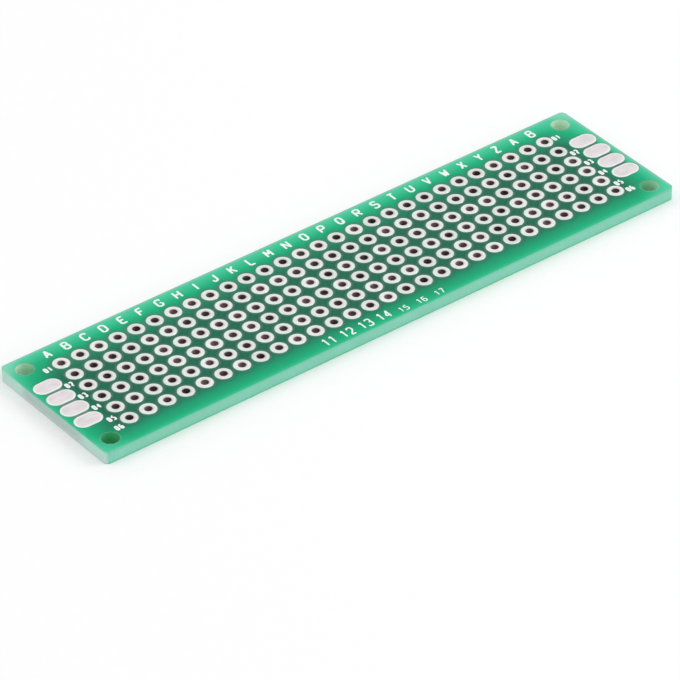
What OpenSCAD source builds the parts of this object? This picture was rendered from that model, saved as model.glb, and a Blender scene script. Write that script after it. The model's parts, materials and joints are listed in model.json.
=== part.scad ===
// Double-sided prototype board: a drilled glass-epoxy laminate, a green solder mask on each face,
// tinned end pads, and a grid of plated-through lead holes, each one an eyelet of metal that lines
// its drilled hole and spreads into a round pad on both faces.
// Millimetres. X runs along the board, Y across it and Z up. The origin is under the board's centre,
// on the plane of the lower pad faces, which is what the board rests on.

/* [Board] */
// Length of the board
board_l = 80; // [60:1:85]
// Width of the board
board_w = 20; // [16:1:24]
// Thickness of the bare laminate, without its metal and mask
laminate_t = 1.5; // [0.8:0.1:2.4]
// Radius of the board's four corners
corner_r = 0.6; // [0.2:0.1:1]

/* [Lead holes] */
// Distance from one lead hole to the next, along and across the board
pitch = 2.54; // [2.4:0.01:2.8]
// Diameter of a lead hole inside its plating
lead_hole_d = 0.9; // [0.7:0.05:1.1]
// Thickness of the plating on a hole's wall
plating_t = 0.05; // [0.02:0.01:0.08]
// Diameter of the round pad at each end of a hole
pad_d = 2; // [1.6:0.05:2.2]
// Height of every pad above the laminate
pad_t = 0.05; // [0.04:0.01:0.1]
// Bevel at a pad's rim and at the mouth of its hole
pad_bevel = 0.02; // [0.01:0.005:0.03]
// Least distance from the board's end to the first column of holes
end_margin = 5; // [4.8:0.1:6]
// Least distance from the board's long edge to the first row of holes
side_margin = 3; // [2.6:0.1:3.6]

/* [End pads] */
// Length of an end pad, along the board
end_pad_l = 3.45; // [2.6:0.05:3.8]
// Width of an end pad
end_pad_w = 2.15; // [1.6:0.05:2.2]
// Distance from the board's end to the end pads
end_pad_gap = 0.35; // [0.1:0.05:0.4]

/* [Corner holes] */
// Diameter of the screw hole in each corner
corner_hole_d = 2.1; // [1.8:0.05:2.4]
// Distance from a corner hole's centre to both edges beside it
corner_inset = 2; // [1.8:0.1:2.4]

/* [Solder mask] */
// Thickness of the mask on each face
mask_t = 0.03; // [0.02:0.01:0.04]
// Bare laminate left between the mask and a pad
mask_gap = 0.06; // [0.03:0.01:0.08]
// Bare laminate left between the mask and a corner hole
mask_setback = 0.17; // [0.05:0.01:0.3]

/* [Hidden] */
$fn = 64;

LEFT = -1;
RIGHT = 1;
TOP = 1;
BOTTOM = -1;

columns = floor((board_l - 2 * end_margin) / pitch) + 1;
rows = floor((board_w - 2 * side_margin) / pitch) + 1;
// The end pads line up with every row but the two outer ones, where the corner holes are.
end_pads = rows - 2;
end_pad_x = board_l / 2 - end_pad_gap - end_pad_l / 2;
drill_d = lead_hole_d + 2 * plating_t;
laminate_bottom = pad_t;
laminate_top = laminate_bottom + laminate_t;
board_t = laminate_top + pad_t;

function column_x(c) = (c - (columns + 1) / 2) * pitch;
function row_y(r) = ((rows + 1) / 2 - r) * pitch;
function end_pad_y(n) = row_y(n + 1);

function two_digits(n) = n < 10 ? str("0", n) : str(n);
function column_node(c) = str("plated_holes_column_", two_digits(c));
function end_pad_node(side, face, n) =
    str(side == LEFT ? "left_" : "right_", face == TOP ? "top_" : "bottom_", "end_pad_", n);

// Outlines, drawn flat

module board_outline() {
    square([board_l - 2 * corner_r, board_w], center = true);
    square([board_l, board_w - 2 * corner_r], center = true);
    for (x = [-1, 1], y = [-1, 1])
        translate([x * (board_l / 2 - corner_r), y * (board_w / 2 - corner_r)])
            circle(r = corner_r);
}

module lead_circles(d) {
    for (c = [1 : columns], r = [1 : rows])
        translate([column_x(c), row_y(r)])
            circle(d = d);
}

module corner_circles(d) {
    for (x = [-1, 1], y = [-1, 1])
        translate([x * (board_l / 2 - corner_inset), y * (board_w / 2 - corner_inset)])
            circle(d = d);
}

// A bar with round ends, grown by `grow` on every side
module oblong(l, w, grow = 0) {
    square([l - w, w + 2 * grow], center = true);
    for (end = [-1, 1])
        translate([end * (l - w) / 2, 0])
            circle(d = w + 2 * grow);
}

module end_pad_outline(side, n, grow = 0) {
    translate([side * end_pad_x, end_pad_y(n)])
        oblong(end_pad_l, end_pad_w, grow);
}

// Pieces

// The drilled glass-epoxy sheet that carries everything else
module laminate() {
    color([0.58, 0.8, 0.72])
        translate([0, 0, laminate_bottom])
            linear_extrude(laminate_t)
                difference() {
                    board_outline();
                    lead_circles(drill_d);
                    corner_circles(corner_hole_d);
                }
}

// A coat of solder mask, open round every pad and corner hole
module solder_mask() {
    color([0.14, 0.55, 0.4])
        linear_extrude(mask_t)
            difference() {
                board_outline();
                lead_circles(pad_d + 2 * mask_gap);
                corner_circles(corner_hole_d + 2 * mask_setback);
                for (side = [LEFT, RIGHT], n = [1 : end_pads])
                    end_pad_outline(side, n, mask_gap);
            }
}

module solder_mask_top() {
    translate([0, 0, laminate_top])
        solder_mask();
}

module solder_mask_bottom() {
    translate([0, 0, laminate_bottom - mask_t])
        solder_mask();
}

// One plated-through hole: its half section, turned about the hole's axis.
// The barrel fills the drilled hole's wall, and the pads bear on both faces of the laminate.
module plated_hole() {
    bore_r = lead_hole_d / 2;
    barrel_r = drill_d / 2;
    pad_r = pad_d / 2;
    rotate_extrude()
        polygon([
            [bore_r, pad_bevel],
            [bore_r + pad_bevel, 0],
            [pad_r - pad_bevel, 0],
            [pad_r, pad_bevel],
            [pad_r, laminate_bottom],
            [barrel_r, laminate_bottom],
            [barrel_r, laminate_top],
            [pad_r, laminate_top],
            [pad_r, board_t - pad_bevel],
            [pad_r - pad_bevel, board_t],
            [bore_r + pad_bevel, board_t],
            [bore_r, board_t - pad_bevel]
        ]);
}

// One column of plated holes, across the board
module plated_hole_column(c) {
    color([0.86, 0.87, 0.85])
        for (r = [1 : rows])
            translate([column_x(c), row_y(r), 0])
                plated_hole();
}

// One bare oblong pad near the board's end
module end_pad(side, face, n) {
    color([0.9, 0.88, 0.88])
        translate([0, 0, face == TOP ? laminate_top : 0])
            linear_extrude(pad_t)
                end_pad_outline(side, n);
}

laminate();
solder_mask_top();
solder_mask_bottom();
for (c = [1 : columns])
    plated_hole_column(c);
for (side = [LEFT, RIGHT], face = [TOP, BOTTOM], n = [1 : end_pads])
    end_pad(side, face, n);
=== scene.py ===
"""Dresses a double-sided prototype board: its finishes, its tinned end pads, its index print and a studio.

The file is laid out as an add-on. Sizes and colours are properties, each piece or group of like pieces has
an operator, and a panel in the 3D view's sidebar lists them. The scene is in metres. The origin lies under
the board's middle, X runs along the board, Y across it to the lettered edge and Z up. Shader graphs work in
millimetres, which suit the print's and the pads' sizes.
"""

import json
import math

import bmesh
import bpy
import numpy as np
from mathutils import Matrix, Vector


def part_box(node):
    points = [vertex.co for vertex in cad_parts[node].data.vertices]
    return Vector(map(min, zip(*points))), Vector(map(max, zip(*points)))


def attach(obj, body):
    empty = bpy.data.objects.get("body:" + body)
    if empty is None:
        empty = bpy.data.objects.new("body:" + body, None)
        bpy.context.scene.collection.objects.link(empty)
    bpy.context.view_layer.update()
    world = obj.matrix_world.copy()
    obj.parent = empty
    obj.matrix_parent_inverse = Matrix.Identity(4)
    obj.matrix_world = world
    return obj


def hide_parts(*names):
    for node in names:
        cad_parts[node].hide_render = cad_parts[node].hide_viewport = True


bl_info = {
    "name": "Prototype Board",
    "version": (1, 0, 0),
    "blender": (4, 5, 0),
    "location": "View3D > Sidebar > Board",
    "description": "Finishes, end pads, index print and studio for a double-sided prototype board",
    "category": "Object",
}

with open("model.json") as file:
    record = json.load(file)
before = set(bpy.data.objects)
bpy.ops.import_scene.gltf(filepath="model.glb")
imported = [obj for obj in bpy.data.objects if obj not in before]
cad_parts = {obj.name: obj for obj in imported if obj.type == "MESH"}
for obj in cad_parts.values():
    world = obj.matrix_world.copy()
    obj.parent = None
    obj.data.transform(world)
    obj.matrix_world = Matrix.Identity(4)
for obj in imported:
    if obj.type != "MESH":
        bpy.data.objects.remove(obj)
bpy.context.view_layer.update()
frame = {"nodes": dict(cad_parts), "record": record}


def mount(name):
    """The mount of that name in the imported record."""
    return next(m for m in frame["record"]["mounts"] if m["name"] == name)


def nodes_like(*starts):
    """The names of the frame's nodes that start with one of the given words, in order."""
    return sorted(n for n in frame["nodes"] if n.startswith(starts))


MM = 0.001
GRID = mount("lead_hole_grid")["dims"]
PITCH = GRID["spacing_x_mm"]
COLUMNS = len(nodes_like("plated_holes_column_"))
ROWS = GRID["count"] // COLUMNS
LEAD_HOLE_R = GRID["hole_r_mm"]
CORNER_SPACING = mount("corner_holes")["dims"]["spacing_x_mm"]

LAMINATE_LOW, LAMINATE_HIGH = (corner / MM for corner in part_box("laminate"))
MASK_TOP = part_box("solder_mask_top")[1].z / MM
PAD_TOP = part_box("plated_holes_column_01")[1].z / MM
PAD_R = (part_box("plated_holes_column_01")[1].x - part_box("plated_holes_column_01")[0].x) / MM / 2
HALF_LENGTH = LAMINATE_HIGH.x
HALF_WIDTH = LAMINATE_HIGH.y
CORNER_INSET = HALF_LENGTH - CORNER_SPACING / 2
# End pads lie beside every row but the first and the last. This is how far the outermost of them lie from
# the board's middle, in pitches.
OUTER_END_PAD = (ROWS - 3) / 2


def column_x(column):
    """Distance of a column of holes from the board's middle, in mm: columns count up along X."""
    return (column - (COLUMNS + 1) / 2) * PITCH


def row_y(row):
    """Distance of a row of holes from the board's middle, in mm: rows count down from the lettered edge."""
    return ((ROWS + 1) / 2 - row) * PITCH


def linear(red, green, blue):
    """The linear colour of display values from 0 to 255: each one goes through the sRGB curve."""
    value = np.array([red, green, blue]) / 255
    high = ((value + 0.055) / 1.055) ** 2.4
    return tuple(np.where(value <= 0.04045, value / 12.92, high).tolist())


# Properties


def length(name, description, millimetres, low=0.0, high=100.0):
    """A length property with its default and its limits in millimetres."""
    return bpy.props.FloatProperty(
        name=name, description=description, default=millimetres * MM, min=low * MM, max=high * MM,
        precision=5, unit="LENGTH", subtype="DISTANCE")


def share(name, description, default):
    """A property from 0 to 1."""
    return bpy.props.FloatProperty(
        name=name, description=description, default=default, min=0.0, max=1.0, subtype="FACTOR")


def colour(name, description, display):
    """A colour property whose default is given in display values from 0 to 255."""
    return bpy.props.FloatVectorProperty(
        name=name, description=description, default=linear(*display), min=0.0, max=1.0, size=3,
        subtype="COLOR")


class SolderMaskLook(bpy.types.PropertyGroup):
    """The green coat on both faces."""

    # Painted shade: the mask among the pads, darkened where the pads shade the light in the sheet
    between_pads: colour("Between pads", "Mask among the pads, which shade the sheet", (20, 107, 82))
    # Painted light: the mask over the border, lit by light that passes through the sheet
    border: colour("Border", "Mask over the clear border of the sheet", (12, 174, 122))
    # Painted light: the mask at the board's brightest edges
    rim: colour("Rim", "Mask at the board's brightest edges", (80, 209, 167))
    # Painted shadow: a greyer ring of mask round each round pad
    beside_pads: colour("Beside pads", "Mask right beside the round pads, greyer", (92, 126, 113))
    # Painted shade: the mask in the narrow webs between the end pads
    beside_ends: colour("Beside end pads", "Mask in the narrow webs between the end pads", (134, 150, 146))
    # Scuffs at the edges, painted paler with light where the edges are brightest
    worn: colour("Worn", "Mask scuffed at the board's edges", (152, 190, 174))
    # Painted light: the two back corners, the palest
    back_corners: colour("Back corners", "Mask at the two back corners, the palest", (150, 219, 196))
    # Painted light: how far each border brightens, most at the back and the right
    front_glow: share("Front glow", "How far the front border brightens", 0.76)
    back_glow: share("Back glow", "How far the back border brightens", 1.0)
    left_glow: share("Left glow", "How far the left border brightens", 0.77)
    right_glow: share("Right glow", "How far the right border brightens", 1.0)
    glow_reach: length("Glow reach", "How far in from an edge the light in the sheet reaches", 4.6, 1, 10)
    weave: length("Weave", "Distance between the glass yarns that show through", 0.5, 0.1, 2)
    roughness: share("Roughness", "Roughness of the cured mask", 0.34)


class PlatedHoleLook(bpy.types.PropertyGroup):
    """The round pads and the barrels in the lead holes."""

    tin: colour("Tin", "Levelled tin on the round pads", (231, 235, 234))
    dull_tin: colour("Dull tin", "Tin where it is thin or oxidised", (222, 219, 220))
    lip: colour("Lip", "Tin that thins towards the mouth of a hole", (196, 176, 178))
    # Painted reflection: the green mask mirrored in the tin at the rim of a pad
    rim: colour("Rim", "Tin that mirrors the mask at the rim of a pad", (206, 232, 221))
    # Tarnish and painted shade: the dark wall inside a hole
    barrel: colour("Barrel", "Tarnished wall of a hole", (121, 104, 102))
    dome: length("Dome", "Height of the solder's crown round a hole", 0.02, 0, 0.1)
    roughness: share("Roughness", "Roughness of the pads", 0.34)


class EndPadLook(bpy.types.PropertyGroup):
    """The oblong pads at the board's ends: their tin, its crown and its ripple."""

    tin: colour("Tin", "Levelled tin on the oblong pads", (232, 224, 228))
    dull_tin: colour("Dull tin", "Tin where it is thin or oxidised", (214, 209, 211))
    # Painted highlight: the tin where it curves down at the rim of a pad
    rim: colour("Rim", "Tin that curves down at the rim of a pad", (242, 246, 244))
    crown: length("Crown", "How much higher a pad is in its middle than near its rim", 0.012, 0, 0.04)
    ripple: length("Ripple", "Height of the waves that levelling leaves", 0.004, 0, 0.01)
    roughness: share("Roughness", "Roughness of the pads", 0.36)


class LaminateLook(bpy.types.PropertyGroup):
    """The glass-epoxy sheet, seen at its sawn edges and in its holes."""

    edge: colour("Edge", "Sawn long edges", (133, 206, 183))
    end_edge: colour("End edge", "Sawn ends where mask lies over them", (178, 219, 206))
    pad_edge: colour("Edge under pads", "Sawn ends where bare end pads lie over them", (174, 196, 190))
    low_end: colour("Low end", "Sawn ends close to the lower face, which are whitest", (216, 214, 218))
    # Painted light: a green glow from the mask on the sawn edges close to either face
    glow: colour("Glow", "Sheet close to the mask, which tints it", (92, 202, 162))
    bare: colour("Bare", "Bare face of the sheet round pads", (132, 174, 158))
    # Painted light and shade: the bare face round the corner holes, in a lit and a shaded copy
    bare_rim: colour("Bare rim", "Bare face round the best lit corner hole", (145, 212, 176))
    bare_rim_shade: colour("Bare rim, shaded", "Bare face round the least lit corner hole", (45, 150, 106))
    # Painted light and shade: the wall of the corner holes, in a lit and a shaded copy
    drilled: colour("Drilled", "Wall of the best lit corner hole", (216, 250, 222))
    drilled_shade: colour("Drilled, shaded", "Wall of the least lit corner hole", (66, 186, 124))
    frost: colour("Frost", "Whitened ends of the glass fibres", (214, 226, 220))
    ply: length("Ply", "Thickness of one layer of glass cloth", 0.19, 0.05, 0.5)
    roughness: share("Roughness", "Roughness of the sawn edge", 0.55)


class PrintLook(bpy.types.PropertyGroup):
    """The white index print: letters over the columns, numbers beside the rows and under some columns."""

    ink: colour("Ink", "White screen-printed ink", (244, 250, 247))
    thin_ink: colour("Thin ink", "Ink that lets the mask show through", (190, 226, 208))
    letter_height: length("Letter height", "Height of a column letter", 1.5, 0.5, 3)
    letter_width: length("Letter width", "Width of a column letter", 0.94, 0.3, 3)
    letter_stroke: length("Letter stroke", "Width of a column letter's stroke", 0.26, 0.05, 0.5)
    row_height: length("Row number height", "Height of a row number", 0.96, 0.4, 2)
    row_width: length("Row number width", "Width of one digit of a row number", 0.48, 0.2, 1)
    row_stroke: length("Row number stroke", "Width of a row number's stroke", 0.23, 0.05, 0.3)
    large_height: length("Large number height", "Height of a large column number", 1.45, 0.5, 2)
    small_height: length("Small number height", "Height of a small column number", 0.95, 0.5, 2)
    thickness: length("Ink thickness", "Height of the ink above the mask", 0.014, 0.004, 0.02)


class StudioSettings(bpy.types.PropertyGroup):
    """Light, floor and camera."""

    sky: bpy.props.FloatProperty(name="Sky", description="Strength of the soft light from all round",
                                 default=0.84, min=0.0, max=2.0)
    key_power: bpy.props.FloatProperty(name="Key light", description="Power of the large lamp in front",
                                       default=1.5, min=0.0, max=20.0, unit="POWER")
    fill_power: bpy.props.FloatProperty(name="Fill light", description="Power of the lamp behind the board",
                                        default=0.6, min=0.0, max=20.0, unit="POWER")
    floor: colour("Floor", "White paper that the board lies on", (255, 255, 255))
    floor_grain: colour("Floor grain", "Darkest shade in the paper", (253, 253, 253))
    lens: bpy.props.FloatProperty(name="Lens", description="Focal length of the camera in millimetres",
                                  default=287.18, min=10.0, max=1000.0)


# Shader graphs


class Value:
    """A socket of a shader graph. An expression on values adds its Math nodes to the graph."""

    def __init__(self, graph, socket):
        self.graph = graph
        self.socket = socket

    def _math(self, operation, *values):
        return self.graph.node("ShaderNodeMath", {"operation": operation}, dict(enumerate(values)))

    def __add__(self, other):
        return self._math("ADD", self, other)

    def __radd__(self, other):
        return self._math("ADD", other, self)

    def __sub__(self, other):
        return self._math("SUBTRACT", self, other)

    def __rsub__(self, other):
        return self._math("SUBTRACT", other, self)

    def __mul__(self, other):
        return self._math("MULTIPLY", self, other)

    def __rmul__(self, other):
        return self._math("MULTIPLY", other, self)

    def __truediv__(self, other):
        return self._math("DIVIDE", self, other)

    def __pow__(self, other):
        return self._math("POWER", self, other)

    def __abs__(self):
        return self._math("ABSOLUTE", self)

    def floor(self):
        return self._math("FLOOR", self)

    def sine(self):
        return self._math("SINE", self)

    def least(self, other):
        return self._math("MINIMUM", self, other)

    def most(self, other):
        return self._math("MAXIMUM", self, other)

    def step(self, low, high):
        """0 at low, 1 at high and a smooth step between them. With low over high it falls."""
        return self.graph.node("ShaderNodeMapRange", {"interpolation_type": "SMOOTHSTEP"},
                               {"Value": self, "From Min": low, "From Max": high})

    def out(self, name):
        """Another output of the node that this value comes from."""
        return Value(self.graph, self.socket.node.outputs[name])


class Graph:
    """The shader graph of a material or a world, which starts empty."""

    def __init__(self, owner):
        owner.use_nodes = True
        self.tree = owner.node_tree
        self.tree.nodes.clear()

    def node(self, kind, settings, sockets, output=0):
        """Adds a node and sets its settings, a ramp's stops among them, and its sockets."""
        made = self.tree.nodes.new(kind)
        for name, setting in settings.items():
            if name == "stops":
                elements = made.color_ramp.elements
                while len(elements) < len(setting):
                    elements.new(0.5)
                for element, (position, shade) in zip(elements, setting):
                    element.position = position
                    element.color = (*shade, 1.0)
            else:
                setattr(made, name, setting)
        for key, value in sockets.items():
            if isinstance(value, Value):
                self.tree.links.new(value.socket, made.inputs[key])
            else:
                made.inputs[key].default_value = value
        return Value(self, made.outputs[output]) if made.outputs else None


class Finish(Graph):
    """A material and its shader graph, on the coordinates of the piece, which are the board's own."""

    def __init__(self, name):
        self.material = bpy.data.materials.new(name)
        super().__init__(self.material)
        place = self.node("ShaderNodeTexCoord", {}, {}, "Object")
        self.place = self.node("ShaderNodeVectorMath", {"operation": "SCALE"}, {0: place, "Scale": 1 / MM})
        self.x = self.node("ShaderNodeSeparateXYZ", {}, {0: self.place})
        self.y = self.x.out("Y")
        self.z = self.x.out("Z")

    def noise(self, scale, detail, stretch=(1.0, 1.0, 1.0)):
        """Noise with that many lumps to a millimetre, drawn out along the axes whose stretch is small."""
        place = self.node("ShaderNodeVectorMath", {"operation": "MULTIPLY"}, {0: self.place, 1: stretch})
        return self.node("ShaderNodeTexNoise", {}, {"Vector": place, "Scale": scale, "Detail": detail})

    def mix(self, factor, first, second):
        """The first colour where the factor is 0 and the second where it is 1."""
        return self.node("ShaderNodeMix", {"data_type": "RGBA"},
                         {0: factor, 6: self._rgba(first), 7: self._rgba(second)}, 2)

    def scaled(self, shade, factor):
        """A colour made darker or lighter by a factor."""
        return self.node("ShaderNodeVectorMath", {"operation": "SCALE"}, {0: shade, "Scale": factor})

    def ramp(self, value, stops):
        """A colour that runs through the stops as the value goes from 0 to 1."""
        return self.node("ShaderNodeValToRGB", {"stops": stops}, {0: value})

    def bump(self, height):
        """The surface's normal when it stands up by that many millimetres."""
        return self.node("ShaderNodeBump", {}, {"Distance": MM, "Height": height})

    def surface(self, sockets):
        """Ends the graph in a Principled surface with those sockets, and returns the material."""
        shader = self.node("ShaderNodeBsdfPrincipled", {}, sockets)
        self.node("ShaderNodeOutputMaterial", {}, {"Surface": shader})
        return self.material

    @staticmethod
    def _rgba(shade):
        return shade if isinstance(shade, Value) else (*shade, 1.0)


def nearest_hole(finish):
    """The nearest lead hole's column and row, from the middle in pitches, and the distance to it in mm.

    Each of the two is the floor of the coordinate over the pitch, plus a half, held inside the grid.
    """
    column = ((finish.x / PITCH).floor() + 0.5).most((1 - COLUMNS) / 2).least((COLUMNS - 1) / 2)
    row = ((finish.y / PITCH).floor() + 0.5).most((1 - ROWS) / 2).least((ROWS - 1) / 2)
    away = ((finish.x - column * PITCH) ** 2 + (finish.y - row * PITCH) ** 2) ** 0.5
    return column, row, away


def nearest_end_pad(finish):
    """How far a point lies past the end of the nearest end pad's middle line, and outside the pad, in mm.

    Across the board the middle lines are a pitch apart, and along it each is as long as the pad is longer
    than wide. The second distance is that from the line, less half the pad's width.
    """
    low, high = (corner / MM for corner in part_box("right_top_end_pad_1"))
    half_line = (high.x - low.x - (high.y - low.y)) / 2
    row = ((finish.y / PITCH).floor() + 0.5).most(-OUTER_END_PAD).least(OUTER_END_PAD)
    along = (abs(abs(finish.x) - (low.x + high.x) / 2) - half_line).most(0.0)
    return along, (along ** 2 + (finish.y - row * PITCH) ** 2) ** 0.5 - (high.y - low.y) / 2


def web_between_end_pads(finish):
    """1 in the narrow webs between end pads, and 0 past their ends and further off."""
    along, outside = nearest_end_pad(finish)
    outer_row = OUTER_END_PAD * PITCH
    return along.step(0.7, 0.1) * abs(finish.y).step(outer_row + 0.5, outer_row) * outside.step(0.8, -0.1)


def solder_mask_finish(look):
    """Green mask: painted shade among the pads, and painted light where the bare border passes light.

    Each edge adds a painted glow that falls with the distance from it, strongest at the back and the right.
    The glows join as 1 less the product of what each leaves dark. Pads cast painted shade on the mask beside
    them, the cloth shows through, the brightest edges are scuffed and painted paler, and painted light makes
    the two back corners paler still.
    """
    finish = Finish("solder_mask")
    to_front = finish.y + HALF_WIDTH
    to_back = HALF_WIDTH - finish.y
    to_left = finish.x + HALF_LENGTH
    to_right = HALF_LENGTH - finish.x

    # The distance from each edge, its painted glow, and how far that goes as a share of the common reach
    edges = ((to_front, look.front_glow, 0.78), (to_back, look.back_glow, 1.3),
             (to_left, look.left_glow, 0.92), (to_right, look.right_glow, 1.05))
    # Painted light: each edge adds a glow, and what the glows leave dark is painted shade
    dark = 1.0
    for distance, glow, spread in edges:
        dark = dark * (1 - glow * (1 - distance / (look.glow_reach / MM * spread)).most(0.0) ** 1.2)
    clear_of_holes = nearest_hole(finish)[2].step(0.95, 1.85)
    web = web_between_end_pads(finish)
    # Less painted light in the webs between the end pads
    light = (1 - dark) * (1 - 0.75 * web)
    # The base runs from painted shade among the pads to painted light at the brightest edges
    base = finish.ramp(light, [(0.0, look.between_pads), (0.62, look.border), (1.0, look.rim)])
    # Painted shade: the mask is darker beside the pads and in the webs between the end pads
    shade = 0.76 + 0.24 * clear_of_holes.least(1 - web)
    yarns = ((finish.x * (math.tau / look.weave * MM)).sine()
             * (finish.y * (math.tau / look.weave * MM / 1.15)).sine())
    cloud = finish.noise(0.9, 3.0)
    grain = finish.noise(9.0, 2.0)
    shade = shade * (0.93 + 0.1 * cloud + 0.04 * grain + 0.012 * yarns)
    # Scuffs and painted edge light: the front and left edges get less of both
    to_edge = to_back.least(to_right).least(to_front.least(to_left) + 0.14)
    to_back_corner = HALF_LENGTH + HALF_WIDTH - abs(finish.x) - finish.y
    worn = (to_edge + 0.12 * grain).step(0.5, 0.12)
    # Painted shade beside the pads, and a painted shadow ring round each round pad
    base = finish.mix(0.55 * clear_of_holes.step(0.5, 0.0), finish.scaled(base, shade), look.beside_pads)
    # Painted shade in the webs between the end pads, darker at the right end
    web_shade = finish.scaled(look.beside_ends, 1 - 0.4 * finish.x.step(-1.0, 1.0))
    base = finish.mix(0.75 * web, base, web_shade)
    # Pale scuffs with painted light, only where the painted edge light is strongest
    base = finish.mix(0.7 * worn * (1 - dark).step(0.66, 1.0), base, look.worn)
    # Painted light at the two back corners
    base = finish.mix(0.6 * to_back_corner.step(3.5, 0.5), base, look.back_corners)
    return finish.surface({
        "Base Color": base,
        "Roughness": look.roughness - 0.06 + 0.14 * cloud + 0.2 * worn,
        "Specular IOR Level": 0.1,
        "Normal": finish.bump(0.0012 * yarns + 0.004 * cloud + 0.0015 * grain),
    })


def plated_hole_finish(look):
    """Levelled tin on the pads, domed between hole and rim; inside the hole, tarnish and painted shade.

    The dome is 1 less the square of the distance from the ring's middle, over half the ring's width. Painted
    shade makes the wall inside a hole darker near its mouth and on its right, and the lip's bare copper
    shows more on the right too. Chance is one number for each hole and its pads, and makes one differ from
    the next.
    makes one differ from the next.
    """
    finish = Finish("hole_plating")
    column, row, away = nearest_hole(finish)
    cell = finish.node("ShaderNodeCombineXYZ", {}, {0: column, 1: row})
    chance = finish.node("ShaderNodeTexWhiteNoise", {"noise_dimensions": "2D"}, {"Vector": cell})
    middle = (LEAD_HOLE_R + PAD_R) / 2
    half_ring = (PAD_R - LEAD_HOLE_R) / 2
    inside = away.step(LEAD_HOLE_R + 0.03, LEAD_HOLE_R + 0.005)
    lip = away.step(LEAD_HOLE_R + 0.26, LEAD_HOLE_R + 0.02)
    right = (finish.x - column * PITCH) / LEAD_HOLE_R
    back = (finish.y - row * PITCH) / LEAD_HOLE_R
    depth = ((PAD_TOP - finish.z) / PAD_TOP).step(0.0, 0.5)
    tarnish = (1.9 * finish.noise(4.0, 3.0) + 1.1 * chance - 0.46).most(0.1)
    # Painted shade: the wall is darker near its mouth and on its right, lighter towards the back, with
    # random tarnish
    barrel = finish.scaled(look.barrel, (1.18 - 0.9 * right + 0.15 * back + 0.75 * depth) * tarnish)
    cloud = finish.noise(1.6, 3.0)
    grain = finish.noise(11.0, 3.0)
    patches = (cloud + 0.2 * chance).step(0.5, 1.0)
    tin = finish.mix(patches, look.tin, look.dull_tin)
    tin = finish.mix(lip * (0.6 + 0.4 * right).most(0.0).least(0.95), tin, look.lip)
    # Painted reflection of the mask at the rim of each round pad
    tin = finish.mix(0.6 * away.step(PAD_R - 0.24, PAD_R - 0.02), tin, look.rim)
    tin = finish.scaled(tin, 0.78 + 0.3 * grain + 0.14 * chance)
    dome = (1 - ((away - middle) / half_ring) ** 2).most(0.0)
    height = (look.dome / MM) * (0.7 + 0.6 * chance) * dome + 0.006 * cloud + 0.002 * grain
    return finish.surface({
        "Base Color": finish.mix(inside, tin, barrel),
        "Metallic": 1 - 0.75 * inside,
        "Roughness": look.roughness - 0.08 + 0.16 * cloud + 0.3 * inside,
        "Normal": finish.bump(height * (1 - inside)),
    })


def end_pad_finish(look):
    """Levelled tin on the oblong pads, mottled where it is thin, with a painted highlight where it curves
    down.
    """
    finish = Finish("end_pad_tin")
    cloud = finish.noise(1.1, 3.0, (0.7, 1.2, 1.0))
    grain = finish.noise(7.0, 3.0)
    patches = (0.6 * cloud + 0.4 * grain).step(0.38, 0.7)
    tin = finish.scaled(finish.mix(patches, look.tin, look.dull_tin), 0.92 + 0.16 * grain)
    # Painted highlight round the rim of each oblong pad
    rim = (nearest_end_pad(finish)[1] + 0.1 * grain).step(-0.3, -0.05)
    return finish.surface({
        "Base Color": finish.mix(0.7 * rim, tin, look.rim),
        "Metallic": 1.0,
        "Roughness": look.roughness - 0.08 + 0.18 * grain,
        "Normal": finish.bump(0.004 * cloud + 0.003 * grain),
    })


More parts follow.
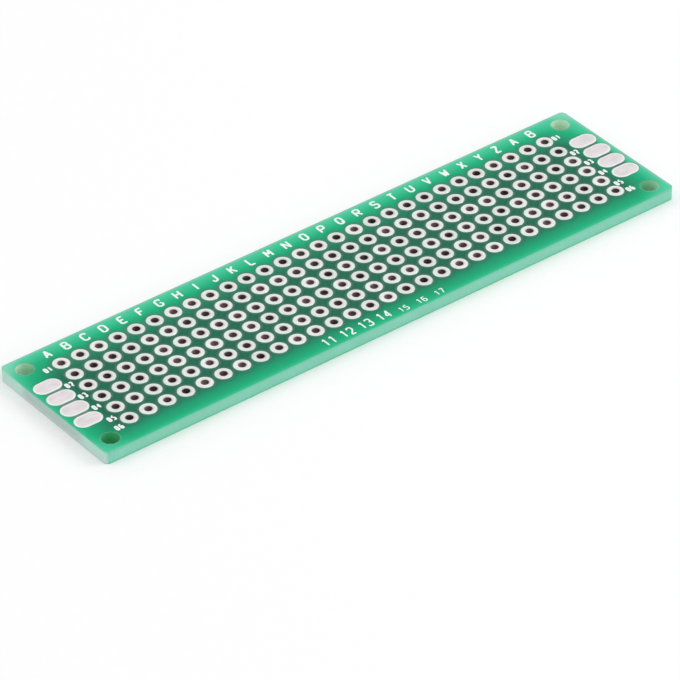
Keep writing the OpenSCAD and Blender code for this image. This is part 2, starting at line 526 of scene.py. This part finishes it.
def laminate_finish(look):
    """Glass-epoxy sheet: sawn edges, frosted fibre ends, faint plies and painted green light near the mask.

    The share of painted glow falls with the depth below either face. The ends are paler than the long edges,
    most so towards the lower face, and greyer under the bare end pads.

    The wall of a corner hole and the bare rim round it carry painted light and shade: they are lighter
    towards the back and the right, where the sheet passes more light, and on the side of the board's corner.
    Painted shade darkens the wall further down.
    """
    finish = Finish("laminate")
    low, high = LAMINATE_LOW.z, LAMINATE_HIGH.z
    depth = (high - finish.z).least(finish.z - low)
    plies = (finish.z * (math.tau * MM / look.ply)).sine()
    streaks = finish.noise(5.0, 3.0, (1.0, 1.0, 0.16))
    fibres = finish.noise(22.0, 2.0, (1.0, 1.0, 0.35))
    drift = finish.noise(0.35, 2.0)
    at_end = abs(finish.x).step(HALF_LENGTH - 0.4, HALF_LENGTH - 0.1)
    under_pads = (abs(finish.y) + 1.2 * drift).step(7.0, 5.0)
    edge = finish.mix(at_end, look.edge, finish.mix(under_pads, look.end_edge, look.pad_edge))
    # Painted green light from the mask, fading with depth below either face and weaker at the ends
    green = (1 - 0.68 * at_end) * depth.step(0.4, 0.0)
    edge = finish.mix(0.7 * green, edge, look.glow)
    edge = finish.mix(0.6 * at_end * finish.z.step(low + 0.5, low + 0.1), edge, look.low_end)
    frost = (0.6 * streaks + 0.4 * fibres).step(0.48, 0.72)
    edge = finish.mix(0.16 * frost, edge, look.frost)
    edge = finish.scaled(edge, 0.92 + 0.12 * drift + 0.03 * streaks + 0.01 * plies)
    on_face = depth.step(0.012, 0.004)
    past_x = (abs(finish.x) - (HALF_LENGTH - CORNER_INSET)).most(0.0)
    past_y = (abs(finish.y) - (HALF_WIDTH - CORNER_INSET)).most(0.0)
    inside = (past_x ** 2 + past_y ** 2).step((CORNER_INSET - 0.02) ** 2, (CORNER_INSET - 0.1) ** 2)
    to_corner = HALF_LENGTH + HALF_WIDTH - abs(finish.x) - abs(finish.y)
    at_corner = to_corner.step(8.0, 7.0)
    # About -1 on the side of a corner hole that faces the board's middle, and 1 on the opposite side
    outward = (2 * CORNER_INSET - to_corner) / 1.6
    # Painted light: the corner holes are lighter towards the back and the right
    lit = 0.68 * finish.y.step(-HALF_WIDTH, HALF_WIDTH) + 0.46 * finish.x.step(-HALF_LENGTH, HALF_LENGTH)
    wall = finish.mix(lit + 0.38 * outward, look.drilled_shade, look.drilled)
    # Painted shade: the wall darkens further down
    wall = finish.scaled(wall, 0.84 + 0.13 * finish.z.step(high - 1.1, high - 0.15))
    rim = finish.mix(0.2 + 0.4 * lit + outward * (0.11 + 0.2 * lit), look.bare_rim_shade, look.bare_rim)
    drilled = finish.mix(on_face, wall, finish.mix(at_corner, look.bare, rim))
    drilled = finish.scaled(drilled, 0.9 + 0.2 * fibres)
    return finish.surface({
        "Base Color": finish.mix(inside, edge, drilled),
        "Roughness": look.roughness - 0.1 + 0.2 * fibres,
        "Specular IOR Level": 0.3,
        "Normal": finish.bump(0.008 * streaks + 0.006 * fibres + 0.002 * plies),
    })


def ink_finish(look):
    """White ink, a little uneven where the screen laid it thin."""
    finish = Finish("index_print")
    thin = finish.noise(4.0, 2.0).step(0.35, 0.75)
    grain = finish.noise(26.0, 1.0)
    return finish.surface({
        "Base Color": finish.scaled(finish.mix(0.1 * thin, look.ink, look.thin_ink), 0.98 + 0.04 * grain),
        "Roughness": 0.5 + 0.12 * grain,
        "Specular IOR Level": 0.3,
        "Normal": finish.bump(0.002 * grain),
    })


def wear(piece, material):
    """Gives the piece that one material, in every slot that it has."""
    if not piece.material_slots:
        piece.data.materials.append(material)
    for place in piece.material_slots:
        place.material = material


# Meshes

# Points closer than this, in metres, are one point
SAME_POINT = 1e-8


def mesh_piece(name, points, faces):
    """A piece from points in millimetres and faces, smooth, merged where points meet, facing outwards."""
    mesh = bpy.data.meshes.new(name)
    mesh.from_pydata((points * MM).tolist(), [], faces.tolist())
    merge_close(mesh)
    mesh.polygons.foreach_set("use_smooth", np.ones(len(mesh.polygons), bool))
    piece = bpy.data.objects.new(name, mesh)
    bpy.context.scene.collection.objects.link(piece)
    return piece


def merge_close(mesh):
    """Merges points that meet, as at a seam or a pole, and drops faces that this leaves without area."""
    shell = bmesh.new()
    shell.from_mesh(mesh)
    bmesh.ops.remove_doubles(shell, verts=shell.verts, dist=SAME_POINT)
    bmesh.ops.dissolve_degenerate(shell, edges=shell.edges, dist=SAME_POINT)
    bmesh.ops.recalc_face_normals(shell, faces=shell.faces)
    shell.to_mesh(mesh)
    shell.free()


def grid_faces(rows, places, rows_meet, places_meet):
    """The four-sided faces of a grid of points, as point numbers. Its rows or their places may meet."""
    row_numbers = np.arange(rows if rows_meet else rows - 1)
    place_numbers = np.arange(places if places_meet else places - 1)
    row, place = np.meshgrid(row_numbers, place_numbers, indexing="ij")
    next_row = (row + 1) % rows
    next_place = (place + 1) % places
    faces = np.stack([row * places + place, next_row * places + place,
                      next_row * places + next_place, row * places + next_place], -1)
    return faces.reshape(-1, 4)


# Cross-section of a line of ink: across it from -1 to 1, and up from the mask, sunk a little into it
INK_SECTION = np.array([(-1.0, -0.3), (-1.0, 0.15), (-0.6, 0.9), (0.0, 1.0),
                        (0.6, 0.9), (1.0, 0.15), (1.0, -0.3)])


def ink_line(path, closed, width, base, height):
    """One line of ink: the cross-section carried along a flat path, with round ends.

    At a distance d from an end, the half width is the square root of r squared less (r - d) squared, where
    r is half the line's width, and r further in. The height falls with the width, to half at the very end.
    """
    half = width / 2
    if closed:
        run = np.roll(path, -1, 0) - np.roll(path, 1, 0)
        spread = np.ones(len(path))
    else:
        run = np.gradient(path, axis=0)
        steps = np.linalg.norm(np.diff(path, axis=0), axis=1)
        gone = np.concatenate([[0], np.cumsum(steps)])
        from_end = np.minimum(gone, gone[-1] - gone)
        spread = np.sqrt(np.clip(1 - np.clip(1 - from_end / half, 0, 1) ** 2, 0, 1))
    run = run / np.linalg.norm(run, axis=1, keepdims=True)
    across = np.stack([run[:, 1], -run[:, 0]], 1)
    reach = INK_SECTION[:, 0] * (spread * half)[:, None]
    flat = path[:, None] + across[:, None] * reach[..., None]
    up = base + height * INK_SECTION[:, 1] * (0.5 + 0.5 * spread)[:, None]
    points = np.concatenate([flat, up[..., None]], -1)
    return points.reshape(-1, 3), grid_faces(len(path), len(INK_SECTION), closed, True)


def rounded_path(corners, radius, closed, pace):
    """A flat path through the corners, each one rounded to an arc of that radius where there is room.

    An arc starts and ends the radius over the tangent of half the corner's angle away from the corner. The
    path is then cut into even steps of about the given pace.
    """
    if closed:
        before, after = np.roll(corners, 1, 0), np.roll(corners, -1, 0)
        inner = corners
    else:
        before, after = corners[:-2], corners[2:]
        inner = corners[1:-1]
    to_before, to_after = before - inner, after - inner
    reach_before = np.linalg.norm(to_before, axis=1)
    reach_after = np.linalg.norm(to_after, axis=1)
    unit_before = to_before / reach_before[:, None]
    unit_after = to_after / reach_after[:, None]
    half_angle = np.arccos(np.clip((unit_before * unit_after).sum(1), -1, 1)) / 2
    cut = np.minimum(radius / np.tan(half_angle), 0.5 * np.minimum(reach_before, reach_after))
    bow = cut * np.tan(half_angle)
    middle = unit_before + unit_after
    middle = inner + middle / np.linalg.norm(middle, axis=1)[:, None] * (bow / np.sin(half_angle))[:, None]
    first = inner + unit_before * cut[:, None] - middle
    last = inner + unit_after * cut[:, None] - middle
    arc_points = 9
    share_of_arc = np.linspace(0, 1, arc_points)[None, :, None]
    chord = first[:, None] * (1 - share_of_arc) + last[:, None] * share_of_arc
    arcs = middle[:, None] + chord / np.linalg.norm(chord, axis=2, keepdims=True) * bow[:, None, None]
    points = arcs.reshape(-1, 2)
    if closed:
        points = np.concatenate([points, points[:1]])
    else:
        points = np.concatenate([corners[:1], points, corners[-1:]])
    gone = np.concatenate([[0], np.cumsum(np.linalg.norm(np.diff(points, axis=0), axis=1))])
    steps = max(int(round(gone[-1] / pace)), 4)
    places = np.linspace(0, gone[-1], steps + 1)[:steps if closed else steps + 1]
    return np.stack([np.interp(places, gone, points[:, 0]), np.interp(places, gone, points[:, 1])], 1)


def straight_path(start, end, half):
    """A straight path whose points crowd towards its two round ends, which each have that radius."""
    reach = np.linalg.norm(end - start)
    near = np.minimum(half * np.array([0.0, 0.13, 0.5, 1.0]), reach / 2)
    places = np.concatenate([near, (reach - near)[::-1]]) / reach
    return start + (end - start) * places[:, None]


# Each sign is drawn in a box that is 1 wide and 1 high, as lines with semicolons between them. A line is
# its corners. It may start with the radius of its corners, as a share of the box's width, and o closes it.
SIGNS = {
    "A": "0,0 .5,1; .5,1 1,0; .17,.34 .83,.34",
    "B": "0,0 0,1; .27 0,1 .92,1 .92,.53 0,.53; .29 0,.53 1,.53 1,0 0,0",
    "C": ".46 1,.72 1,1 0,1 0,0 1,0 1,.28",
    "D": "0,0 0,1; .5 0,1 1,1 1,0 0,0",
    "E": "0,0 0,1; 0,1 1,1; 0,.52 .82,.52; 0,0 1,0",
    "F": "0,0 0,1; 0,1 1,1; 0,.52 .82,.52",
    "G": ".46 1,.74 1,1 0,1 0,0 1,0 1,.45; .6,.45 1,.45",
    "H": "0,0 0,1; 1,0 1,1; 0,.52 1,.52",
    "I": ".5,0 .5,1",
    "J": ".4 .85,1 .85,0 .05,0 .05,.3",
    "K": "0,0 0,1; 0,.38 .95,1; .33,.6 1,0",
    "L": "0,0 0,1; 0,0 .95,0",
    "M": "0,0 0,1; 0,1 .5,.34; .5,.34 1,1; 1,1 1,0",
    "N": "0,0 0,1; 0,1 1,0; 1,0 1,1",
    "O": ".5 o 0,1 1,1 1,0 0,0",
    "P": "0,0 0,1; .28 0,1 1,1 1,.45 0,.45",
    "Q": ".5 o 0,1 1,1 1,0 0,0; .6,.3 1,0",
    "R": "0,0 0,1; .28 0,1 1,1 1,.48 0,.48; .5,.48 1,0",
    "S": ".3 .96,.8 .96,1 .04,1 .04,.53 1,.53 1,0 0,0 0,.2",
    "T": ".5,0 .5,1; 0,1 1,1",
    "U": ".48 0,1 0,0 1,0 1,1",
    "V": "0,1 .5,0; .5,0 1,1",
    "W": "0,1 .24,0; .24,0 .5,.72; .5,.72 .76,0; .76,0 1,1",
    "X": "0,0 1,1; 0,1 1,0",
    "Y": "0,1 .5,.48; .5,.48 1,1; .5,.48 .5,0",
    "Z": "0,1 1,1; 1,1 0,0; 0,0 1,0",
    "0": ".5 o 0,1 1,1 1,0 0,0",
    "1": ".15,.78 .55,1; .55,1 .55,0",
    "2": ".4 .02,.74 .02,1 .96,1 .96,.56 0,0; 0,0 1,0",
    "3": ".3 .05,.82 .05,1 .94,1 .94,.53 .4,.53; .32 .4,.53 1,.53 1,0 0,0 0,.18",
    "4": ".76,0 .76,1; .76,1 0,.28; 0,.28 1,.28",
    "5": ".94,1 .1,1; .1,1 .06,.56; .36 .06,.56 1,.62 1,0 0,0 0,.15",
    "6": ".42 .9,.88 .78,1 0,1 0,0 1,0 1,.58 .04,.58",
    "7": "0,1 1,1; 1,1 .36,0",
    "8": ".3 o .08,.53 .08,1 .92,1 .92,.53; .34 o 0,.53 0,0 1,0 1,.53",
    "9": ".42 .1,.12 .22,0 1,0 1,1 0,1 0,.42 .96,.42",
}


def sign_lines(sign, width, height, stroke):
    """The paths of a sign's lines about its middle, in mm, and whether each is closed.

    The width and the height are overall, so that they take in the stroke.
    """
    box = np.array([width - stroke, height - stroke])
    pace = 0.55 * stroke
    for line in SIGNS[sign].split(";"):
        words = line.split()
        radius = float(words.pop(0)) * box[0] if "," not in words[0] else 0.0
        closed = words[0] == "o"
        corners = np.array([[float(v) for v in word.split(",")] for word in words if word != "o"])
        corners = (corners - 0.5) * box
        if radius:
            yield rounded_path(corners, radius, closed, pace), closed
        else:
            yield straight_path(corners[0], corners[1], stroke / 2), False


def print_piece(name, words, sizes):
    """One piece of ink for words that each have a middle, a sign's width and height, a gap and a stroke.

    All of these are in mm. Each line of a sign lies a hair lower than the one before it, so that no two
    faces coincide where lines cross.
    """
    line_drop = 0.04
    points, faces, count = [], [], 0
    thickness = sizes.thickness / MM
    for text, (x, y), width, height, gap, stroke in words:
        for place, sign in enumerate(text):
            middle = np.array([x + (place - (len(text) - 1) / 2) * (width + gap), y])
            for layer, (path, closed) in enumerate(sign_lines(sign, width, height, stroke)):
                rise = thickness * (1 - line_drop * layer)
                made, sides = ink_line(path + middle, closed, stroke, MASK_TOP, rise)
                points.append(made)
                faces.append(sides + count)
                count += len(made)
    piece = mesh_piece(name, np.concatenate(points), np.concatenate(faces))
    wear(piece, ink_finish(sizes))
    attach(piece, "root")
    return piece


def end_pad_surface(low, high, crown, ripple):
    """An oblong pad's tinned skin between two corners of its box, in mm, closed below.

    Round the pad, a ray leaves the middle line, which is as long as the pad is longer than wide, and ends
    on the outline. At the share s of a ray the height is the pad's own, less the crown times s squared,
    times the square root of 1 less s to the 14th. Three sine waves that fade at the rim add the ripple. The
    underside sinks a little into the sheet.
    """
    end_points, side_points, ray_points = 21, 8, 13
    sink = 0.01
    middle = (low + high) / 2
    long, wide, tall = high - low
    radius = wide / 2
    right = np.linspace(-math.pi / 2, math.pi / 2, end_points)
    along = np.linspace(1, -1, side_points)[1:-1]
    angle = np.concatenate([right, 0 * along + math.pi / 2, right + math.pi, 0 * along - math.pi / 2])
    line = np.concatenate([0 * right + 1, along, 0 * right - 1, -along]) * (long - wide) / 2
    rays = np.sin(np.linspace(0, math.pi / 2, ray_points))
    s = np.concatenate([rays, rays[::-1][1:]])
    x = middle[0] + line[:, None] + radius * np.cos(angle)[:, None] * s
    y = middle[1] + radius * np.sin(angle)[:, None] * s
    waves = (np.sin(3.1 * x + 1.7 * y + 5.0 * middle[1]) + np.sin(-2.3 * x + 4.4 * y + middle[0])
             + np.sin(6.7 * x + 2.9 * y + 2.0 * middle[1])) / 3
    top = (tall - crown * s ** 2 + ripple * (waves - 1) * (1 - s ** 8)) * np.sqrt(1 - s ** 14)
    upper = np.arange(len(s)) < len(rays)
    z = np.where(upper, np.maximum(top, 0), -sink * (1 - s ** 8))
    return np.stack([x, y, z], -1).reshape(-1, 3), grid_faces(*z.shape, True, False)


def end_pad_piece(node, look, material):
    """The tinned skin that stands for one oblong pad of the frame, the right way up for its face."""
    low, high = (np.array(corner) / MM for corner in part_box(node))
    points, faces = end_pad_surface(low, high, look.crown / MM, look.ripple / MM)
    if "_top_" in node:
        points[:, 2] = low[2] + points[:, 2]
    else:
        points[:, 2] = high[2] - points[:, 2]
    piece = mesh_piece(node + "_skin", points, faces)
    wear(piece, material)
    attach(piece, "root")
    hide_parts(node)
    return piece


# Places of the index print, in mm

ALPHABET = "ABCDEFGHIJKLMNOPQRSTUVWXYZ"
# A letter's middle, from the back edge and from the middle of its column
LETTER_FROM_BACK = 1.3
LETTER_FROM_COLUMN = -0.26
# A row number's middle, from its row: half a pitch, apart from these rows, where a pad or a hole is close
NUMBER_FROM_ROW = {1: -0.11, 5: -1.49, ROWS: -0.7}
# A row number's middle, from the left end and from the right: for the first and last row, and for others
OUTER_NUMBER_FROM_ENDS = (3.86, 4.09)
INNER_NUMBER_FROM_ENDS = (4.1, 4.36)
ROW_NUMBER_GAP = 0.08
# The column numbers: their columns, their distance from the front edge, a digit's width, the gap between
# two digits and the stroke
LARGE_NUMBERS = (range(11, 15), 1.2, 0.78, 0.16, 0.2)
SMALL_NUMBERS = (range(15, 18), 0.84, 0.56, 0.14, 0.14)


# Operators


class BOARD_OT_laminate(bpy.types.Operator):
    """Give the drilled sheet its sawn glass-epoxy finish"""

    bl_idname = "board.laminate"
    bl_label = "Laminate"
    bl_options = {"REGISTER", "UNDO"}

    def execute(self, context):
        wear(frame["nodes"]["laminate"], laminate_finish(context.scene.board_laminate))
        return {"FINISHED"}


class BOARD_OT_solder_mask(bpy.types.Operator):
    """Give the mask on both faces its green finish"""

    bl_idname = "board.solder_mask"
    bl_label = "Solder mask"
    bl_options = {"REGISTER", "UNDO"}

    def execute(self, context):
        finish = solder_mask_finish(context.scene.board_mask)
        for node in nodes_like("solder_mask_"):
            wear(frame["nodes"][node], finish)
        return {"FINISHED"}


class BOARD_OT_plated_holes(bpy.types.Operator):
    """Give every plated hole its tinned pads and tarnished barrel"""

    bl_idname = "board.plated_holes"
    bl_label = "Plated holes"
    bl_options = {"REGISTER", "UNDO"}

    def execute(self, context):
        finish = plated_hole_finish(context.scene.board_holes)
        for node in nodes_like("plated_holes_column_"):
            wear(frame["nodes"][node], finish)
        return {"FINISHED"}


class BOARD_OT_end_pads(bpy.types.Operator):
    """Build the tinned skins of the oblong pads at both ends of both faces"""

    bl_idname = "board.end_pads"
    bl_label = "End pads"
    bl_options = {"REGISTER", "UNDO"}

    def execute(self, context):
        look = context.scene.board_end_pads
        finish = end_pad_finish(look)
        for node in nodes_like("left_", "right_"):
            end_pad_piece(node, look, finish)
        return {"FINISHED"}


class BOARD_OT_column_letters(bpy.types.Operator):
    """Print the letter of each column along the back edge, starting again at A after Z"""

    bl_idname = "board.column_letters"
    bl_label = "Column letters"
    bl_options = {"REGISTER", "UNDO"}

    def execute(self, context):
        sizes = context.scene.board_print
        width, height, stroke = sizes.letter_width / MM, sizes.letter_height / MM, sizes.letter_stroke / MM
        words = []
        for column in range(1, COLUMNS + 1):
            letter = ALPHABET[(column - 1) % len(ALPHABET)]
            place = (column_x(column) + LETTER_FROM_COLUMN, HALF_WIDTH - LETTER_FROM_BACK)
            words.append((letter, place, width, height, 0.0, stroke))
        print_piece("column_letters", words, sizes)
        return {"FINISHED"}


class BOARD_OT_row_numbers(bpy.types.Operator):
    """Print the number of each row beside both ends of the grid"""

    bl_idname = "board.row_numbers"
    bl_label = "Row numbers"
    bl_options = {"REGISTER", "UNDO"}

    def execute(self, context):
        sizes = context.scene.board_print
        width, height, stroke = sizes.row_width / MM, sizes.row_height / MM, sizes.row_stroke / MM
        words = []
        for row in range(1, ROWS + 1):
            y = row_y(row) + NUMBER_FROM_ROW.get(row, -PITCH / 2)
            left, right = OUTER_NUMBER_FROM_ENDS if row in (1, ROWS) else INNER_NUMBER_FROM_ENDS
            for x in (left - HALF_LENGTH, HALF_LENGTH - right):
                words.append((f"{row:02d}", (x, y), width, height, ROW_NUMBER_GAP, stroke))
        print_piece("row_numbers", words, sizes)
        return {"FINISHED"}


class BOARD_OT_column_numbers(bpy.types.Operator):
    """Print the numbers of some middle columns along the front edge, four large and three small"""

    bl_idname = "board.column_numbers"
    bl_label = "Column numbers"
    bl_options = {"REGISTER", "UNDO"}

    def execute(self, context):
        sizes = context.scene.board_print
        words = []
        for numbers, height in ((LARGE_NUMBERS, sizes.large_height), (SMALL_NUMBERS, sizes.small_height)):
            columns, from_front, width, gap, stroke = numbers
            for column in columns:
                place = (column_x(column), from_front - HALF_WIDTH)
                words.append((str(column), place, width, height / MM, gap, stroke))
        print_piece("column_numbers", words, sizes)
        return {"FINISHED"}


class BOARD_OT_studio(bpy.types.Operator):
    """Set the camera, the white floor, the soft lamps and the white surroundings"""

    bl_idname = "board.studio"
    bl_label = "Studio"
    bl_options = {"REGISTER", "UNDO"}

    def execute(self, context):
        settings = context.scene.board_studio
        aim_camera(settings)
        lay_floor(settings)
        light_world(settings)
        hang_lamp("key_light", settings.key_power)
        hang_lamp("fill_light", settings.fill_power)
        context.scene.view_settings.view_transform = "Standard"
        return {"FINISHED"}


# Studio

# The photograph's camera in the board's frame: its place, which is over the pads, the way it looks and its
# upright. Distances are in metres, and the sensor's width in millimetres.
CAMERA_PLACE = (-0.298932, -0.393023, 0.352618)
CAMERA_FORWARD = (0.487667, 0.642726, -0.590834)
CAMERA_UP = (0.370684, 0.460291, 0.806676)
SENSOR_WIDTH = 36.0
CLIP_START = 0.01
CLIP_END = 20.0
# Each lamp's place and the side of its square
LAMPS = {
    "key_light": ((0.58, -0.36, 0.5), 0.4),
    "fill_light": ((-0.5, 0.35, 0.6), 0.5),
}
# Half the side of the floor, and how far it lies under the board
FLOOR_SPAN = 2.5
FLOOR_DROP = 0.01 * MM


def aim_camera(settings):
    """Sets the photograph's camera."""
    data = bpy.data.cameras.new("camera")
    data.lens = settings.lens
    data.sensor_width = SENSOR_WIDTH
    data.clip_start = CLIP_START
    data.clip_end = CLIP_END
    forward = Vector(CAMERA_FORWARD).normalized()
    right = forward.cross(Vector(CAMERA_UP)).normalized()
    up = right.cross(forward)
    turn = Matrix((right, up, -forward)).transposed().to_4x4()
    x, y, over_pads = CAMERA_PLACE
    camera = bpy.data.objects.new("camera", data)
    camera.matrix_world = Matrix.Translation((x, y, over_pads + PAD_TOP * MM)) @ turn
    bpy.context.scene.collection.objects.link(camera)
    bpy.context.scene.camera = camera


def lay_floor(settings):
    """A square of white paper, a hair under the pads that the board rests on, with a faint grain."""
    signs = ((-1, -1), (1, -1), (1, 1), (-1, 1))
    corners = [(x * FLOOR_SPAN, y * FLOOR_SPAN, -FLOOR_DROP) for x, y in signs]
    mesh = bpy.data.meshes.new("floor")
    mesh.from_pydata(corners, [], [(0, 1, 2, 3)])
    floor = bpy.data.objects.new("floor", mesh)
    bpy.context.scene.collection.objects.link(floor)
    finish = Finish("paper")
    wear(floor, finish.surface({
        "Base Color": finish.mix(finish.noise(0.8, 3.0), settings.floor, settings.floor_grain),
        "Roughness": 0.9,
        "Specular IOR Level": 0.0,
    }))


def light_world(settings):
    """White surroundings: as strong as the sky setting on the object, and 1 where rays see them."""
    world = bpy.data.worlds.new("surroundings")
    graph = Graph(world)
    camera_ray = graph.node("ShaderNodeLightPath", {}, {}, "Is Camera Ray")
    seen = camera_ray.most(camera_ray.out("Is Glossy Ray")).most(camera_ray.out("Is Transmission Ray"))
    background = graph.node("ShaderNodeBackground", {}, {
        "Color": (1.0, 1.0, 1.0, 1.0),
        "Strength": settings.sky + (1 - settings.sky) * seen,
    })
    graph.node("ShaderNodeOutputWorld", {}, {"Surface": background})
    bpy.context.scene.world = world


def hang_lamp(name, power):
    """A square soft lamp that faces the board's middle."""
    place, size = LAMPS[name]
    data = bpy.data.lights.new(name, "AREA")
    data.energy = power
    data.size = size
    lamp = bpy.data.objects.new(name, data)
    lamp.location = place
    lamp.rotation_euler = (-Vector(place)).to_track_quat("-Z", "Y").to_euler()
    bpy.context.scene.collection.objects.link(lamp)


# Panel and registration


class BOARD_PT_sidebar(bpy.types.Panel):
    """The board's pieces, with their sizes and colours"""

    bl_idname = "BOARD_PT_sidebar"
    bl_label = "Prototype Board"
    bl_space_type = "VIEW_3D"
    bl_region_type = "UI"
    bl_category = "Board"

    def draw(self, context):
        for group, operators in PIECES.items():
            box = self.layout.box()
            settings = getattr(context.scene, group)
            for name in GROUPS[group].__annotations__:
                box.prop(settings, name)
            for operator in operators:
                box.operator(operator.bl_idname)


GROUPS = {
    "board_laminate": LaminateLook,
    "board_mask": SolderMaskLook,
    "board_holes": PlatedHoleLook,
    "board_end_pads": EndPadLook,
    "board_print": PrintLook,
    "board_studio": StudioSettings,
}
PIECES = {
    "board_laminate": [BOARD_OT_laminate],
    "board_mask": [BOARD_OT_solder_mask],
    "board_holes": [BOARD_OT_plated_holes],
    "board_end_pads": [BOARD_OT_end_pads],
    "board_print": [BOARD_OT_column_letters, BOARD_OT_row_numbers, BOARD_OT_column_numbers],
    "board_studio": [BOARD_OT_studio],
}
OPERATORS = [operator for group in PIECES.values() for operator in group]


def register():
    for group in GROUPS.values():
        bpy.utils.register_class(group)
    for name, group in GROUPS.items():
        setattr(bpy.types.Scene, name, bpy.props.PointerProperty(type=group))
    for kind in [*OPERATORS, BOARD_PT_sidebar]:
        bpy.utils.register_class(kind)


def unregister():
    for kind in [BOARD_PT_sidebar, *reversed(OPERATORS)]:
        bpy.utils.unregister_class(kind)
    for name in GROUPS:
        delattr(bpy.types.Scene, name)
    for group in reversed(GROUPS.values()):
        bpy.utils.unregister_class(group)


def main():
    """Registers the add-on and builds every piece."""
    register()
    bpy.ops.board.laminate()
    bpy.ops.board.solder_mask()
    bpy.ops.board.plated_holes()
    bpy.ops.board.end_pads()
    bpy.ops.board.column_letters()
    bpy.ops.board.row_numbers()
    bpy.ops.board.column_numbers()
    bpy.ops.board.studio()


if __name__ == "__main__":
    main()
